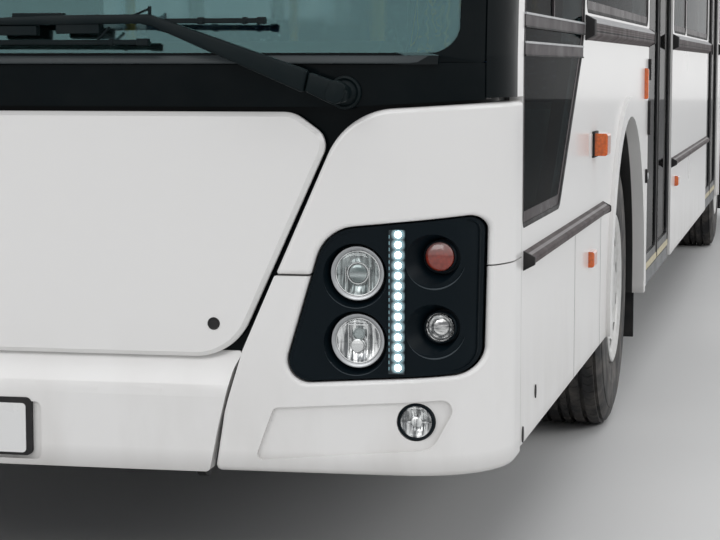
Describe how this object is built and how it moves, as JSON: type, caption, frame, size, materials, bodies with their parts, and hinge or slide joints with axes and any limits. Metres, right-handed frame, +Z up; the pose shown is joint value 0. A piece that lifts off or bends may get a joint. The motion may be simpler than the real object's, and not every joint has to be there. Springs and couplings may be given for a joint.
{
  "type": "low-floor city bus",
  "caption": "Low-floor city bus with double inward-swinging doors, round-lamp clusters, hinged front and engine flaps, steered front wheels and twin rear wheels.",
  "frame": {"origin": "on the road, below the middle of the overall length (wiper caps to rear wall) and of the width", "axes": "+Z up, -Y towards the front of the bus, +X towards its left side, which has the doors"},
  "size_m": [3.1, 12, 3.1199],
  "materials": {
    "white_paint": "gloss",
    "tinted_glass": "gloss",
    "black_moulding": "satin",
    "grey_moulding": "matt",
    "rubber_rail": "matt",
    "clear_lens": "gloss",
    "amber_lens": "gloss",
    "red_lens": "gloss",
    "floor_covering": "matt",
    "seat_shell": "matt",
    "yellow_tube": "gloss",
    "cast_metal": "matt",
    "axle_paint": "satin",
    "tyre_rubber": "matt",
    "wheel_metal": "satin"
  },
  "bodies": {
    "bus": {"roof": "white_paint", "side_left": "white_paint", "side_right": "white_paint", "rear_wall": "white_paint", "front_posts": "white_paint", "bumper": "white_paint", "corner_panels": "white_paint", "roof_unit": "white_paint", "windscreen": "tinted_glass", "window_panes": "tinted_glass", "front_frame": "black_moulding", "lamp_clusters": "black_moulding", "mirrors": "black_moulding", "wipers": "black_moulding", "side_rails": "rubber_rail", "front_lamps": "clear_lens", "side_lamps": "amber_lens", "rear_lamps": "red_lens", "floor": "floor_covering", "rear_deck": "floor_covering", "wheel_housings": "grey_moulding", "tow_plates": "axle_paint", "driver_cab": "grey_moulding", "seats": "seat_shell", "seat_backs": "seat_shell", "grab_poles": "yellow_tube", "engine": "cast_metal", "front_axle": "axle_paint", "rear_axle": "axle_paint"},
    "knuckle_left": {"knuckle_left": "axle_paint"},
    "knuckle_right": {"knuckle_right": "axle_paint"},
    "tie_rod": {"tie_rod": "axle_paint"},
    "front_wheel_left": {"tyre_front_left": "tyre_rubber", "wheel_front_left": "wheel_metal"},
    "front_wheel_right": {"tyre_front_right": "tyre_rubber", "wheel_front_right": "wheel_metal"},
    "rear_wheel_left": {"tyres_rear_left": "tyre_rubber", "wheel_rear_left": "wheel_metal"},
    "rear_wheel_right": {"tyres_rear_right": "tyre_rubber", "wheel_rear_right": "wheel_metal"},
    "front_flap": {"front_flap": "white_paint"},
    "engine_flap": {"engine_flap": "white_paint"},
    "door_front_a": {"door_front_leaf_a": "black_moulding", "door_front_glass_a": "tinted_glass"},
    "door_front_b": {"door_front_leaf_b": "black_moulding", "door_front_glass_b": "tinted_glass"},
    "door_rear_a": {"door_rear_leaf_a": "black_moulding", "door_rear_glass_a": "tinted_glass"},
    "door_rear_b": {"door_rear_leaf_b": "black_moulding", "door_rear_glass_b": "tinted_glass"}
  },
  "joints": [
    {"name": "steer_left", "type": "hinge", "parent": "bus", "child": "knuckle_left", "pos_m": [0.93, -3.295, 0.435], "axis": [0, 0, 1], "range_deg": [-40, 40]},
    {"name": "steer_right", "type": "hinge", "parent": "bus", "child": "knuckle_right", "pos_m": [-0.93, -3.295, 0.435], "axis": [0, 0, 1], "range_deg": [-40, 40]},
    {"name": "tie_rod_pivot", "type": "hinge", "parent": "knuckle_left", "child": "tie_rod", "pos_m": [0.93, -3.075, 0.326], "axis": [0, 0, 1], "range_deg": [-40, 40]},
    {"name": "wheel_front_left_spin", "type": "hinge", "parent": "knuckle_left", "child": "front_wheel_left", "pos_m": [1.1125, -3.295, 0.435], "axis": [1, 0, 0], "continuous": true},
    {"name": "wheel_front_right_spin", "type": "hinge", "parent": "knuckle_right", "child": "front_wheel_right", "pos_m": [-1.1125, -3.295, 0.435], "axis": [1, 0, 0], "continuous": true},
    {"name": "wheel_rear_left_spin", "type": "hinge", "parent": "bus", "child": "rear_wheel_left", "pos_m": [0.9675, 3.305, 0.435], "axis": [1, 0, 0], "continuous": true},
    {"name": "wheel_rear_right_spin", "type": "hinge", "parent": "bus", "child": "rear_wheel_right", "pos_m": [-0.9675, 3.305, 0.435], "axis": [1, 0, 0], "continuous": true},
    {"name": "front_flap_hinge", "type": "hinge", "parent": "bus", "child": "front_flap", "pos_m": [0, -5.956, 1.06], "axis": [-1, 0, 0], "range_deg": [0, 80]},
    {"name": "engine_flap_hinge", "type": "hinge", "parent": "bus", "child": "engine_flap", "pos_m": [0, 6.001, 1.325], "axis": [1, 0, 0], "range_deg": [0, 80]},
    {"name": "door_front_a_hinge", "type": "hinge", "parent": "bus", "child": "door_front_a", "pos_m": [1.245, -2.471, 1.4], "axis": [0, 0, 1], "range_deg": [0, 90]},
    {"name": "door_front_b_hinge", "type": "hinge", "parent": "bus", "child": "door_front_b", "pos_m": [1.245, -1.349, 1.4], "axis": [0, 0, -1], "range_deg": [0, 90]},
    {"name": "door_rear_a_hinge", "type": "hinge", "parent": "bus", "child": "door_rear_a", "pos_m": [1.245, 1.454, 1.4], "axis": [0, 0, 1], "range_deg": [0, 90]},
    {"name": "door_rear_b_hinge", "type": "hinge", "parent": "bus", "child": "door_rear_b", "pos_m": [1.245, 2.576, 1.4], "axis": [0, 0, -1], "range_deg": [0, 90]}
  ],
  "couplings": [
    {"joint": "steer_right", "follows": "steer_left", "ratio": 1},
    {"joint": "tie_rod_pivot", "follows": "steer_left", "ratio": -1},
    {"joint": "door_front_b_hinge", "follows": "door_front_a_hinge", "ratio": 1},
    {"joint": "door_rear_b_hinge", "follows": "door_rear_a_hinge", "ratio": 1}
  ]
}
